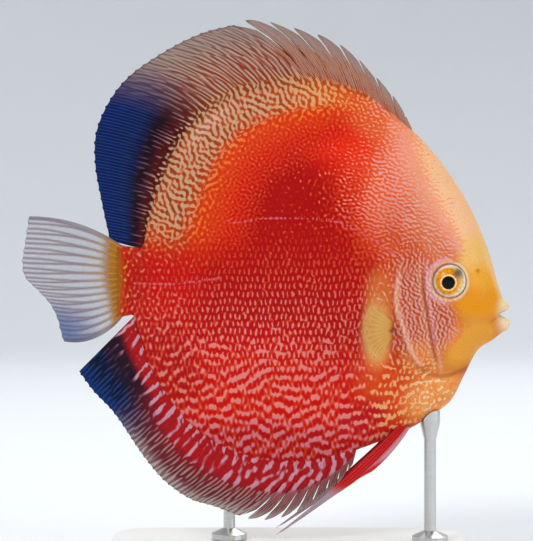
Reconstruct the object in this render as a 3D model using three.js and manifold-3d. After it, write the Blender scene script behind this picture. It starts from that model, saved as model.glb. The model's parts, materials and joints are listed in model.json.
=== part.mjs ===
// Discus fish of a red strain, a still, life-size model that swims level on a display stand.
// Millimetres, +X towards the snout, +Y towards the fish's left side, +Z up, the floor at z = 0.
// The fish has its own frame: its origin lies in the mid-plane, bodyHeight above the floor.
import * as THREE from "three";
import { mergeVertices } from "three/addons/utils/BufferGeometryUtils.js";
import Module from "manifold-3d";

const wasm = await Module();
wasm.setup();

const { lerp, degToRad } = THREE.MathUtils;

// Driving dimensions: a fish 163 mm long from its lower lip to the tip of its tail
const bodyHeight = 96.8; // floor to the middle line of the body
const nodeGap = 0.3; // between neighbouring pieces
const bodyRadius = 63; // mean radius of the round body, seen from the side
const rimHalfWidth = 1.4; // half the width of the body's edge, where the fins stand on it
const bodyColumns = 42;
const bodyRows = 16;

// The body's outline from the tail stalk to the lips, as [x, z]
const backOutline = [
  [-49, 12.4], [-44.5, 11.6], [-41, 11.6], [-39.2, 19.2], [-36, 30], [-27.6, 47.5], [-19, 56.6],
  [-9, 62.5], [2, 65.3], [13, 66], [23.4, 64.5], [34, 61.2], [42.4, 56.2], [55, 44.3],
  [66.4, 28.2], [74.1, 11.2], [78.1, -2.6], [79.3, -5], [81.2, -7.9],
];
const bellyOutline = [
  [-49, -12.2], [-46, -11.4], [-43.7, -11.4], [-42, -17.5], [-36.9, -31.5], [-25, -47.8],
  [-16.6, -54.2], [-6.6, -58.5], [4.4, -60.6], [15, -60.3], [24, -58.2], [38.4, -53.2],
  [47, -49.6], [56, -44.3], [62, -39.5], [66.2, -31.5], [71.1, -22.6], [76, -19.3],
  [79, -17], [80.5, -16.3], [81.5, -14.2],
];

// Half the body's width at its middle line, as [x, half width]
const halfWidths = [
  [-49, 2.2], [-41, 3.7], [-20, 7.6], [2, 10.3], [24, 11.7], [45, 11.9], [60, 10],
  [70, 7.4], [77, 4.5], [80, 3], [82, 1.8],
];

// The back edge of the head: from the nape down the gill opening and forward under the throat
const headEdge = [
  [51, 60], [47, 38], [44.4, 20], [44.2, 8.5], [42.4, -1.2], [42.2, -8], [44.4, -15],
  [47.1, -22.8], [50, -27.2], [54, -30], [59, -31], [64, -29.6], [72, -27.6],
];
const headEdgeShift = [-0.3, -0.45]; // towards the trunk, which leaves the gap

// The gill cover's front edge, along the groove of the cheek, from its top down
const gillFrontEdge = [
  [49, 10.2], [51.6, 4.5], [51.9, -3.5], [53.2, -11], [54.6, -19], [56.6, -27.5], [57.5, -34],
];
const gillCoverThickness = 1.5;
const gillCoverRelief = 0.25; // how far it stands proud of the cheek
const gillCoverRear = 38; // x behind the gill opening, where the cutting outline closes

const lipsX = 84; // just ahead of the lips
const mouthCut = [
  [lipsX, -8.4], [81, -9.1], [80, -9.7], [78.3, -10.8], [75.8, -12.6], [78.5, -11.6],
  [79.9, -12.3], [81.1, -13.2], [lipsX, -13.4],
];
const upperJawEdge = [[lipsX, -4.6], [79.2, -4.8], [75.8, -7.4], [73.6, -12.6], [lipsX, -12.6]];
const lowerJawEdge = [[lipsX, -12.9], [73.4, -12.9], [72.2, -16.5], [72.8, -24], [lipsX, -24]];
const stalkFrontX = -43; // where the tail stalk meets the trunk
const breastRear = [42.4, -11]; // the upper rear corner of the breast, below the gill opening
const cutterY = 30; // half the width of a cutting block, more than the fish's
const cutterFrontX = 110; // its front, ahead of the lips

// The eye
const eyeX = 60.4;
const eyeZ = 0.2;
const eyeRadius = 6.2;
const eyeDepthRadius = 4.2; // across the fish
const eyeSink = 1.9; // its centre below the skin
const orbitRadius = 5.9; // of the raised rim round the eye
const orbitTube = 0.75;

const nostril = { x: 70.2, z: 3.6, radius: 0.7, depth: 1.6 };

// The display stand
const stand = {
  length: 120,
  width: 70,
  thickness: 10,
  centreX: 8,
  cornerRadius: 12,
  edge: 1, // the rounding of its edges
  rodRadius: 2,
  footRadius: 6,
  footHeight: 1.8,
  saddleRadius: 3.4,
  saddleHeight: 6,
};
const frontRod = { x: 55, y: 0, top: 56 }; // the top lies inside the body until it is cut
const rearRod = { x: -12, y: 6.4, top: 65 };

// A fin's cells: each entry is one column of points in the share of the fin that one ray has.
// at is its place in the cell, ridge how much of the ray it carries, notch how deep its end is cut.
const softCell = [
  { at: 0.26, ridge: 0, notch: 1 },
  { at: 0.5, ridge: 1, notch: 0 },
  { at: 0.74, ridge: 0, notch: 1 },
];
const spineCell = [
  { at: 0.05, ridge: 0, notch: 0.55 },
  { at: 0.22, ridge: 1, notch: 0.15 },
  { at: 0.42, ridge: 0, notch: 0 },
  { at: 0.62, ridge: 0, notch: 1 },
];
const softNotch = () => 0.012; // of the ray's length, between two soft rays
const finBow = 0.09; // how far the rays arch forwards where the spines end, of their length

// Where the spiny and the soft parts of the two long fins meet: at the root, and the last tip
const dorsalSplit = { x: 14, tip: [-11, 85.8] };
const analSplit = { x: 8.5, tip: [-8.8, -78.3] };

const skinRed = { color: 0xc42418, roughness: 0.38, metalness: 0 };
const skinAmber = { color: 0xe0a060, roughness: 0.38, metalness: 0 };
const finDark = { color: 0x4a2030, roughness: 0.45, metalness: 0 };
const finClear = { color: 0xc8c0b8, roughness: 0.4, metalness: 0 };
const finCrimson = { color: 0xb81420, roughness: 0.42, metalness: 0 };
const eyeGloss = { color: 0xc89a30, roughness: 0.08, metalness: 0 };
const standWhite = { color: 0xe8e8e4, roughness: 0.3, metalness: 0 };
const rodSteel = { color: 0xb8bcc0, roughness: 0.3, metalness: 1 };

// A value that changes smoothly along x, from [x, value] pairs
function valueAlong(pairs, x) {
  const last = pairs.length - 1;
  const near = Math.min(Math.max(x, pairs[0][0]), pairs[last][0]);
  let k = 0;
  while (k < last - 1 && near > pairs[k + 1][0]) k++;
  const slope = (i) => {
    const a = pairs[Math.max(i - 1, 0)];
    const b = pairs[Math.min(i + 1, last)];
    return (b[1] - a[1]) / (b[0] - a[0]);
  };
  const [x0, y0] = pairs[k];
  const [x1, y1] = pairs[k + 1];
  const h = x1 - x0;
  const t = (near - x0) / h;
  const hermite = (2 * t - 3) * t * t;
  return (
    y0 * (hermite + 1) - y1 * hermite + h * t * (t - 1) * (slope(k) * (t - 1) + slope(k + 1) * t)
  );
}

// A smooth curve through points [x, z] of the mid-plane, or [x, y, z] in space
function smoothCurve(points) {
  const vectors = points.map((p) =>
    p.length === 2 ? new THREE.Vector3(p[0], 0, p[1]) : new THREE.Vector3(...p),
  );
  return new THREE.CatmullRomCurve3(vectors, false, "centripetal");
}

const back = smoothCurve(backOutline);
const belly = smoothCurve(bellyOutline);

// How far along one of the body's outlines, from 0 to 1, a given x lies
function shareAtX(curve, x) {
  let low = 0;
  let high = 1;
  for (let step = 0; step < 30; step++) {
    const middle = (low + high) / 2;
    if (curve.getPointAt(middle).x < x) low = middle;
    else high = middle;
  }
  return low;
}

// A closed solid from two facing grids of points, with the strip that joins their edges
function closedShell(columns, rows, pointAt) {
  const positions = [];
  const indices = [];
  const perSide = (columns + 1) * (rows + 1);
  const index = (side, i, j) => side * perSide + i * (rows + 1) + j;
  for (const side of [-1, 1])
    for (let i = 0; i <= columns; i++)
      for (let j = 0; j <= rows; j++) positions.push(...pointAt(i, j, side).toArray());
  for (let i = 0; i < columns; i++)
    for (let j = 0; j < rows; j++) {
      const near = [index(0, i, j), index(0, i + 1, j), index(0, i + 1, j + 1), index(0, i, j + 1)];
      const far = near.map((n) => n + perSide);
      indices.push(near[0], near[1], near[3], near[1], near[2], near[3]);
      indices.push(far[0], far[3], far[1], far[1], far[3], far[2]);
    }
  const border = [];
  for (let i = 0; i < columns; i++) border.push([i, 0]);
  for (let j = 0; j < rows; j++) border.push([columns, j]);
  for (let i = columns; i > 0; i--) border.push([i, rows]);
  for (let j = rows; j > 0; j--) border.push([0, j]);
  border.forEach(([i, j], k) => {
    const [i2, j2] = border[(k + 1) % border.length];
    const p = index(0, i, j);
    const q = index(0, i2, j2);
    indices.push(q, p, p + perSide, q, p + perSide, q + perSide);
  });
  return new THREE.BufferGeometry()
    .setAttribute("position", new THREE.Float32BufferAttribute(positions, 3))
    .setIndex(indices);
}

// The solid of a closed geometry, turned outside out if its faces point inwards
function toSolid(geometry) {
  const bare = geometry.clone();
  bare.deleteAttribute("normal");
  bare.deleteAttribute("uv");
  const merged = mergeVertices(bare, 1e-4);
  const solidFrom = (triVerts) =>
    new wasm.Manifold(
      new wasm.Mesh({ numProp: 3, vertProperties: merged.attributes.position.array, triVerts }),
    );
  const triVerts = new Uint32Array(merged.index.array);
  const solid = solidFrom(triVerts);
  return solid.volume() >= 0 ? solid : solidFrom(triVerts.toReversed());
}

// The geometry of a solid's largest closed surface
function toGeometry(solid) {
  const pieces = solid.decompose();
  const largest = pieces.reduce((a, b) => (b.volume() > a.volume() ? b : a));
  const mesh = largest.getMesh();
  const positions = [];
  for (let i = 0; i < mesh.numVert; i++)
    positions.push(...mesh.vertProperties.subarray(i * mesh.numProp, i * mesh.numProp + 3));
  const geometry = new THREE.BufferGeometry()
    .setAttribute("position", new THREE.Float32BufferAttribute(positions, 3))
    .setIndex(Array.from(mesh.triVerts));
  geometry.computeVertexNormals();
  return geometry;
}

// A prism across the fish, from an outline [x, z], between two values of y
function prism(outline, yFrom, yTo) {
  const shape = new THREE.Shape(outline.map(([x, z]) => new THREE.Vector2(x, z)));
  const geometry = new THREE.ExtrudeGeometry(shape, { depth: yTo - yFrom, bevelEnabled: false });
  geometry.rotateX(degToRad(90)).translate(0, yTo, 0);
  return toSolid(geometry);
}

// Points of a smooth line through [x, z] points, for an outline that is cut with
function smoothLine(points, steps) {
  return smoothCurve(points)
    .getSpacedPoints(steps)
    .map((p) => [p.x, p.z]);
}

// Half the body's width: a lens from edge to edge, fuller on the head than behind it
function bodyHalfWidth(x, across) {
  const fullness = THREE.MathUtils.smoothstep(x, 25, 70);
  const lens = Math.pow(1 - across * across, lerp(0.92, 0.62, fullness));
  return rimHalfWidth + (valueAlong(halfWidths, x) - rimHalfWidth) * lens;
}

// The whole body, with its skin and its outline moved outwards by the given amounts
function bodySolid(wider = 0, larger = 0) {
  return toSolid(
    closedShell(bodyColumns, bodyRows, (i, j, side) => {
      const along = i / bodyColumns;
      const even = j / bodyRows;
      const up = lerp(even, 0.5 - 0.5 * Math.cos(Math.PI * even), 0.55);
      const point = belly.getPointAt(along).lerp(back.getPointAt(along), up);
      const halfWidth = bodyHalfWidth(point.x, 2 * up - 1) + wider;
      point.multiplyScalar(1 + larger / bodyRadius);
      point.y = side * halfWidth;
      return point;
    }),
  );
}

const body = bodySolid();
const bodyWithGap = bodySolid(nodeGap, nodeGap);

// The head's share of the body, in front of its back edge, which may be shifted
function headRegion([shiftX, shiftZ]) {
  const edge = smoothLine(headEdge, 22).map(([x, z]) => [x + shiftX, z + shiftZ]);
  return prism([...edge, [cutterFrontX, -28], [cutterFrontX, 70], [52, 70]], -cutterY, cutterY);
}

// The outline of the gill cover, made larger by a margin on its front edge
function gillRegion(margin, side) {
  const front = smoothLine(gillFrontEdge, 9).map(([x, z]) => [x + margin, z]);
  const outline = [[gillCoverRear, 10.2 + margin], ...front, [gillCoverRear, -34]];
  return prism(outline, side > 0 ? 0 : -cutterY, side > 0 ? cutterY : 0);
}

function eyeCentre(side) {
  const skin = bodyHalfWidth(eyeX, 0);
  return new THREE.Vector3(eyeX, side * (skin - eyeSink), eyeZ);
}

function eyeGeometry(side, larger) {
  const centre = eyeCentre(side);
  return new THREE.SphereGeometry(1, 18, 12)
    .rotateX(degToRad(90))
    .scale(eyeRadius + larger, eyeDepthRadius + larger, eyeRadius + larger)
    .translate(centre.x, centre.y, centre.z);
}

// The low rim of skin round the eye
function orbitRim(side) {
  const skin = bodyHalfWidth(eyeX, 0);
  return toSolid(
    new THREE.TorusGeometry(orbitRadius, orbitTube, 6, 18)
      .rotateX(degToRad(90))
      .rotateZ(degToRad(-side * 9))
      .translate(eyeX, side * (skin - orbitTube * 0.25), eyeZ),
  );
}

function nostrilPit(side) {
  const skin = bodyHalfWidth(nostril.x, 0);
  return toSolid(
    new THREE.CylinderGeometry(nostril.radius, nostril.radius * 0.6, nostril.depth * 2, 8)
      .rotateX(degToRad(side * 90))
      .translate(nostril.x, side * skin, nostril.z),
  );
}

// A fin: a thin sheet between a root line and a margin line, with its rays raised on both faces
function finSolid({ rayCount, rows, cell, notchDepth, root, margin, bow, sway, membrane, ridge }) {
  const columns = [];
  for (let ray = 0; ray < rayCount; ray++)
    for (const { at, ridge: carries, notch } of cell)
      columns.push({ share: (ray + at) / rayCount, carries, notch });
  const first = columns[0].share;
  const last = columns[columns.length - 1].share;
  const middle = columns.map(({ share, notch }) => {
    const u = (share - first) / (last - first);
    const reach = 1 - notch * notchDepth(u);
    const from = root(u);
    const span = margin(u).sub(from);
    const sideways = new THREE.Vector3(-span.z, 0, span.x).multiplyScalar(bow(u));
    return Array.from({ length: rows + 1 }, (_, j) => {
      const r = (j / rows) * reach;
      const point = from.clone().addScaledVector(span, r).addScaledVector(sideways, 4 * r * (1 - r));
      return point.add(sway(u, r));
    });
  });
  const normalAt = (i, j) => {
    const across = middle[Math.min(i + 1, middle.length - 1)][j]
      .clone()
      .sub(middle[Math.max(i - 1, 0)][j]);
    const along = middle[i][Math.min(j + 1, rows)].clone().sub(middle[i][Math.max(j - 1, 0)]);
    return across.cross(along).normalize();
  };
  return toSolid(
    closedShell(columns.length - 1, rows, (i, j, side) => {
      const r = j / rows;
      const half = lerp(membrane[0], membrane[1], r) + columns[i].carries * lerp(ridge[0], ridge[1], r);
      return middle[i][j].clone().addScaledVector(normalAt(i, j), side * half);
    }),
  );
}

// A root line along the body's outline between two values of x, just clear of the body
function rootAlong(curve, outward, fromX, toX) {
  const from = shareAtX(curve, fromX);
  const to = shareAtX(curve, toX);
  return (u) => {
    const share = lerp(from, to, u);
    const tangent = curve.getTangentAt(share);
    const normal = new THREE.Vector3(-tangent.z, 0, tangent.x).multiplyScalar(outward);
    return curve.getPointAt(share).addScaledVector(normal, nodeGap);
  };
}

function marginThrough(points) {
  const curve = smoothCurve(points);
  return (u) => curve.getPointAt(u);
}

const flat = () => new THREE.Vector3();

// The soft fin's first tip, just behind the last tip of the spines
function behindTip([x, z]) {
  return [x - 1.2 * nodeGap, z];
}

function dorsalSpines() {
  return finSolid({
    rayCount: 9,
    rows: 4,
    cell: spineCell,
    notchDepth: (u) => 0.06 + 0.2 * u * u,
    root: rootAlong(back, 1, 49.5, dorsalSplit.x + nodeGap),
    margin: marginThrough([
      [48.8, 51.4], [45.2, 58.4], [40.6, 64.4], [35.2, 70], [29.2, 76], [21.6, 80.9], [14, 83.4],
      [5, 85.8], [-4, 87.6], dorsalSplit.tip,
    ]),
    bow: (u) => -finBow * u,
    sway: flat,
    membrane: [1.1, 0.3],
    ridge: [0.5, 0.1],
  });
}

function dorsalRays() {
  return finSolid({
    rayCount: 28,
    rows: 4,
    cell: softCell,
    notchDepth: softNotch,
    root: rootAlong(back, 1, dorsalSplit.x, -41),
    margin: marginThrough([
      behindTip(dorsalSplit.tip), [-21.6, 83], [-34.9, 76.2], [-48.3, 65.5], [-56.2, 51], [-57, 40],
      [-54.6, 26], [-51.8, 13.8],
    ]),
    bow: (u) => -finBow * (1 - u),
    sway: (u, r) => new THREE.Vector3(0, 1.6 * r * r * Math.sin(degToRad(540) * u), 0),
    membrane: [1.1, 0.27],
    ridge: [0.42, 0.1],
  });
}

function analSpines() {
  return finSolid({
    rayCount: 8,
    rows: 4,
    cell: spineCell,
    notchDepth: (u) => 0.08 + 0.16 * u,
    root: rootAlong(belly, -1, 30.6, analSplit.x + nodeGap),
    margin: marginThrough([
      [29.2, -61], [25.1, -66.4], [21.8, -69.8], [15, -74.8], [9, -77.6], [2.8, -79.2],
      [-3.3, -79.4], analSplit.tip,
    ]),
    bow: (u) => finBow * u,
    sway: flat,
    membrane: [1.1, 0.3],
    ridge: [0.5, 0.1],
  });
}

function analRays() {
  return finSolid({
    rayCount: 27,
    rows: 4,
    cell: softCell,
    notchDepth: softNotch,
    root: rootAlong(belly, -1, analSplit.x, -43.6),
    margin: marginThrough([
      behindTip(analSplit.tip), [-17, -75.2], [-24.9, -72.8], [-33.3, -66.8], [-39.6, -59.4], [-50.6, -43.8],
      [-57.6, -36.6], [-62.3, -30.2],
    ]),
    bow: (u) => finBow * (1 - u),
    sway: (u, r) => new THREE.Vector3(0, 1.6 * r * r * Math.sin(degToRad(500) * u), 0),
    membrane: [1.1, 0.27],
    ridge: [0.42, 0.1],
  });
}

function caudalFin() {
  const rootX = -49 - nodeGap;
  return finSolid({
    rayCount: 14,
    rows: 5,
    cell: softCell,
    notchDepth: softNotch,
    root: (u) => new THREE.Vector3(rootX, 0, lerp(12, -11.8, u)),
    margin: marginThrough([
      [-79, 21.8], [-80.3, 13], [-81.4, 6.5], [-80.6, 1.8], [-76.3, -2.9], [-72.6, -7],
      [-70.1, -12], [-69, -17], [-68.2, -20.2],
    ]),
    bow: (u) => lerp(-0.08, 0.14, u),
    sway: (u, r) => new THREE.Vector3(0, 9 * u * u * r * r, 0),
    membrane: [1.4, 0.27],
    ridge: [0.45, 0.12],
  });
}

// The pectoral fin stands out from the flank and fans backwards
function pectoralFin(side) {
  const skin = bodyHalfWidth(41.3, -0.2);
  const rootLine = smoothCurve([[41.8, side * (skin - 1), -13.4], [41.2, side * (skin - 1), -18.4]]);
  const fin = finSolid({
    rayCount: 9,
    rows: 4,
    cell: softCell,
    notchDepth: softNotch,
    root: (u) => rootLine.getPointAt(u),
    margin: marginThrough([
      [34.4, side * 25, -6.4], [31.6, side * 28, -11], [31, side * 28.6, -16.5],
      [33, side * 26.5, -22], [37, side * 21.5, -25.6],
    ]),
    bow: () => 0,
    sway: (u, r) => new THREE.Vector3(-3 * r * (1 - r), 0, 0),
    membrane: [0.7, 0.27],
    ridge: [0.3, 0.1],
  });
  return fin.subtract(bodyWithGap);
}

// The pelvic fin hangs from the belly and trails back to its thread-like first ray
function pelvicFin(side) {
  const rootLine = smoothCurve([[44.4, side * 2.9, -47.5], [48.1, side * 2.1, -48.3]]);
  const fin = finSolid({
    rayCount: 5,
    rows: 6,
    cell: softCell,
    notchDepth: softNotch,
    root: (u) => rootLine.getPointAt(u),
    margin: marginThrough([
      [2.7, side * 8, -83.9], [6.6, side * 7.6, -81.6], [14.2, side * 6.8, -76.6],
      [21.9, side * 5.9, -71.3], [27.2, side * 5.4, -67.8], [31, side * 5, -65.2],
      [35.2, side * 4.5, -63],
    ]),
    bow: (u) => lerp(0.02, 0.045, u),
    sway: flat,
    membrane: [0.65, 0.27],
    ridge: [0.3, 0.13],
  });
  return fin.subtract(bodyWithGap);
}

// A rod of the stand: a foot, a slim shaft and a wider end that is cut to the body it holds
function standRod({ x, y, top }) {
  const foot = stand.thickness + nodeGap;
  const saddle = top - stand.saddleHeight;
  const profile = [
    [0, foot],
    [stand.footRadius, foot],
    [stand.footRadius, foot + stand.footHeight],
    [stand.rodRadius, foot + 2 * stand.footHeight],
    [stand.rodRadius, saddle - stand.saddleHeight],
    [stand.saddleRadius, saddle],
    [stand.saddleRadius, top],
    [0, top],
  ];
  const points = profile.map(([radius, z]) => new THREE.Vector2(radius, z - bodyHeight));
  const turned = new THREE.LatheGeometry(points, 18).rotateX(degToRad(90)).translate(x, y, 0);
  return toSolid(turned).subtract(bodyWithGap);
}

function standBase() {
  const { length, width, cornerRadius, edge, thickness } = stand;
  const halfLength = length / 2 - edge;
  const halfWidth = width / 2 - edge;
  const shape = new THREE.Shape();
  shape.moveTo(-halfLength + cornerRadius, -halfWidth);
  shape.lineTo(halfLength - cornerRadius, -halfWidth);
  shape.absarc(halfLength - cornerRadius, -halfWidth + cornerRadius, cornerRadius, -Math.PI / 2, 0);
  shape.absarc(halfLength - cornerRadius, halfWidth - cornerRadius, cornerRadius, 0, Math.PI / 2);
  shape.absarc(-halfLength + cornerRadius, halfWidth - cornerRadius, cornerRadius, Math.PI / 2, Math.PI);
  shape.absarc(-halfLength + cornerRadius, -halfWidth + cornerRadius, cornerRadius, Math.PI, 1.5 * Math.PI);
  return new THREE.ExtrudeGeometry(shape, {
    depth: thickness - 2 * edge,
    bevelThickness: edge,
    bevelSize: edge,
    bevelSegments: 1,
    curveSegments: 6,
  }).translate(stand.centreX, 0, edge - bodyHeight);
}

const headPart = body.intersect(headRegion([0, 0]));
const trunkAndStalk = body.subtract(headRegion(headEdgeShift));

// The head loses the two jaws, the pockets of the gill covers, the eye sockets and the nostrils
function headSolid() {
  const core = bodySolid(-gillCoverThickness - nodeGap);
  let head = headPart.subtract(jawBlock(upperJawEdge, nodeGap)).subtract(jawBlock(lowerJawEdge, nodeGap));
  for (const side of [-1, 1]) {
    head = head
      .add(orbitRim(side))
      .subtract(gillRegion(nodeGap, side).subtract(core))
      .subtract(toSolid(eyeGeometry(side, nodeGap)))
      .subtract(nostrilPit(side));
  }
  return head.subtract(prism(mouthCut, -cutterY, cutterY));
}

function jawBlock(outline, margin) {
  const grown = outline.map(([x, z]) => [x < lipsX ? x - margin : x, z]);
  return prism(grown, -cutterY, cutterY);
}

function jawSolid(outline) {
  return headPart.intersect(jawBlock(outline, 0)).subtract(prism(mouthCut, -cutterY, cutterY));
}

function gillCover(side) {
  return bodySolid(gillCoverRelief)
    .intersect(headRegion([0, 0]))
    .intersect(gillRegion(0, side))
    .subtract(bodySolid(-gillCoverThickness));
}

// The tail stalk's share of the body, behind a given x
function stalkRegion(frontX) {
  return prism([[-60, -30], [frontX, -30], [frontX, 30], [-60, 30]], -cutterY, cutterY);
}

// The breast's share of the trunk, under the head, with its rear edge and top moved outwards
function breastRegion(margin) {
  const [x, z] = breastRear;
  return prism([[x - margin, -70], [90, -70], [90, z + margin], [x - margin, z + margin]], -cutterY, cutterY);
}

function trunkSolid() {
  const withoutStalk = trunkAndStalk.subtract(stalkRegion(stalkFrontX + nodeGap));
  return withoutStalk.subtract(breastRegion(nodeGap));
}

const fish = new THREE.Group();
fish.position.z = bodyHeight;

function place(name, geometry, finish) {
  const mesh = new THREE.Mesh(geometry, new THREE.MeshStandardMaterial(finish));
  mesh.name = name;
  fish.add(mesh);
}

place("head", toGeometry(headSolid()), skinAmber);
place("upper_jaw", toGeometry(jawSolid(upperJawEdge)), skinAmber);
place("lower_jaw", toGeometry(jawSolid(lowerJawEdge)), skinAmber);
place("trunk", toGeometry(trunkSolid()), skinRed);
place("breast", toGeometry(trunkAndStalk.intersect(breastRegion(0))), skinRed);
place("tail_stalk", toGeometry(trunkAndStalk.intersect(stalkRegion(stalkFrontX))), skinAmber);
place("dorsal_fin_spines", toGeometry(dorsalSpines()), finDark);
place("dorsal_fin_rays", toGeometry(dorsalRays().subtract(bodyWithGap)), finDark);
place("anal_fin_spines", toGeometry(analSpines()), finDark);
place("anal_fin_rays", toGeometry(analRays().subtract(bodyWithGap)), finDark);
place("caudal_fin", toGeometry(caudalFin()), finClear);
for (const [name, side] of [["left", 1], ["right", -1]]) {
  place(`gill_cover_${name}`, toGeometry(gillCover(side)), skinAmber);
  place(`eye_${name}`, toGeometry(toSolid(eyeGeometry(side, 0))), eyeGloss);
  place(`pectoral_fin_${name}`, toGeometry(pectoralFin(side)), finClear);
  place(`pelvic_fin_${name}`, toGeometry(pelvicFin(side)), finCrimson);
}
place("stand_base", standBase(), standWhite);
place("stand_rod_front", toGeometry(standRod(frontRod)), rodSteel);
place("stand_rod_rear", toGeometry(standRod(rearRod)), rodSteel);

const model = new THREE.Group();
model.add(fish);
export default model;
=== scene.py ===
import json
import math

import bpy
import numpy as np
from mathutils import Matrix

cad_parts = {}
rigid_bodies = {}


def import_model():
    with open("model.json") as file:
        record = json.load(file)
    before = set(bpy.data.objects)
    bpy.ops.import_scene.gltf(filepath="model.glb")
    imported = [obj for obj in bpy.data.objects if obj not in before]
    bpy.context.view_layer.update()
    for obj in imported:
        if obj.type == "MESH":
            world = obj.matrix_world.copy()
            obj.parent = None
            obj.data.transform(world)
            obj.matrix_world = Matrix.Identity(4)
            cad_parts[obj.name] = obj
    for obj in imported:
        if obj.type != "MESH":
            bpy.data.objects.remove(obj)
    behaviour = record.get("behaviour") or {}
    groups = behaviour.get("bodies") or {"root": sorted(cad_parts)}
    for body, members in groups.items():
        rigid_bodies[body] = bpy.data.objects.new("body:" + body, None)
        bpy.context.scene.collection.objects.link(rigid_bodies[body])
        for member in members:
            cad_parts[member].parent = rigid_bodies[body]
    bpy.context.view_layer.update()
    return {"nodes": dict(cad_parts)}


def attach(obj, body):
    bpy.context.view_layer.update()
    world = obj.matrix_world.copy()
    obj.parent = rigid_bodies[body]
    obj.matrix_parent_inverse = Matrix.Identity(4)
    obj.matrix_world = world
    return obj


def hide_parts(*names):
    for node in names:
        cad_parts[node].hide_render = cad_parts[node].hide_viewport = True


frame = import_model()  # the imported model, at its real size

# Discus fish of a red strain on a display stand, in the photo's pose.
# Shapes are worked out in millimetres in the fish's own frame: x towards the snout, z up from
# the middle line of the body, and moved to the frame's metres when a mesh is made.

mm = 0.001
bodyHeight = 96.8  # the fish's middle line above the floor


def toLinear(hexColour):
    parts = [int(hexColour[k:k + 2], 16) / 255 for k in (1, 3, 5)]
    return np.array([c / 12.92 if c <= 0.04045 else ((c + 0.055) / 1.055) ** 2.4 for c in parts])


def colour4(hexColour):
    return (*toLinear(hexColour), 1.0)


def smooth(low, high, value):  # 0 below low, 1 above high, soft between
    t = np.clip((np.asarray(value, float) - low) / (high - low), 0, 1)
    return t * t * (3 - 2 * t)


def ridgeLine(distance, width):  # 1 on a line, fading over a width
    return np.exp(-(distance / width) ** 2)


def addNode(tree, kind, settings=None, links=None):  # inputs by name or place, or properties
    node = tree.nodes.new("ShaderNode" + kind)
    for name, value in (settings or {}).items():
        if isinstance(name, int) or name in node.inputs:
            node.inputs[name].default_value = value
        else:
            setattr(node, name, value)
    for name, source in (links or {}).items():  # a node stands for its first output
        tree.links.new(getattr(source, "outputs", [source])[0], node.inputs[name])
    return node


def newMaterial(name):  # and what adds a node to it
    material = bpy.data.materials.new(name)
    material.use_nodes = True
    material.node_tree.nodes.clear()
    return material, lambda *given: addNode(material.node_tree, *given)


# Curves through a few points, evenly spaced along their length

def smoothCurve(points):
    p = np.array(points, float)
    p = np.vstack([2 * p[0] - p[1], p, 2 * p[-1] - p[-2]])
    t = np.linspace(0, 1, 24, endpoint=False)[:, None]
    pieces = []
    for k in range(1, len(p) - 2):
        before, start, end, after = p[k - 1:k + 3]
        d0, d1, d2 = (math.sqrt(np.linalg.norm(b - a))
                      for a, b in ((before, start), (start, end), (end, after)))
        leave = ((start - before) / d0 - (end - before) / (d0 + d1) + (end - start) / d1) * d1
        arrive = ((end - start) / d1 - (after - start) / (d1 + d2) + (after - end) / d2) * d1
        pieces.append(start + leave * t + (3 * (end - start) - 2 * leave - arrive) * t ** 2
                      + (2 * (start - end) + leave + arrive) * t ** 3)
    line = np.vstack(pieces + [p[-2:-1]])
    lengths = np.concatenate([[0], np.cumsum(np.linalg.norm(np.diff(line, axis=0), axis=1))])

    def at(share):
        along = np.asarray(share, float) * lengths[-1]
        return np.stack([np.interp(along, lengths, line[:, k]) for k in range(line.shape[1])], -1)
    return at


def valueAlong(pairs, x):  # a smooth value through [x, value] pairs
    xs, ys = np.array(pairs, float).T
    slopes = np.empty(len(xs))
    slopes[1:-1] = (ys[2:] - ys[:-2]) / (xs[2:] - xs[:-2])
    slopes[0] = (ys[1] - ys[0]) / (xs[1] - xs[0])
    slopes[-1] = (ys[-1] - ys[-2]) / (xs[-1] - xs[-2])
    near = np.clip(x, xs[0], xs[-1])
    k = np.clip(np.searchsorted(xs, near) - 1, 0, len(xs) - 2)
    h = xs[k + 1] - xs[k]
    t = (near - xs[k]) / h
    hermite = (2 * t - 3) * t * t
    return (ys[k] * (hermite + 1) - ys[k + 1] * hermite
            + h * t * (t - 1) * (slopes[k] * (t - 1) + slopes[k + 1] * t))


def distanceTo(points, x, z):  # distance to a smooth line, and the share along it
    line = smoothCurve(points)(np.linspace(0, 1, 80))
    best = np.full(x.shape, 1e9)
    share = np.zeros(x.shape)
    for k in range(len(line) - 1):
        a, step = line[k], line[k + 1] - line[k]
        t = np.clip(((x - a[0]) * step[0] + (z - a[1]) * step[1]) / (step @ step), 0, 1)
        d = np.hypot(x - a[0] - t * step[0], z - a[1] - t * step[1])
        share = np.where(d < best, (k + t) / (len(line) - 1), share)
        best = np.minimum(best, d)
    return best, share


def xOnLine(points, z):  # where a line down the head stands at a height
    xs, zs = np.array(points[::-1], float).T
    return np.interp(z, zs, xs)


# Meshes

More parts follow.
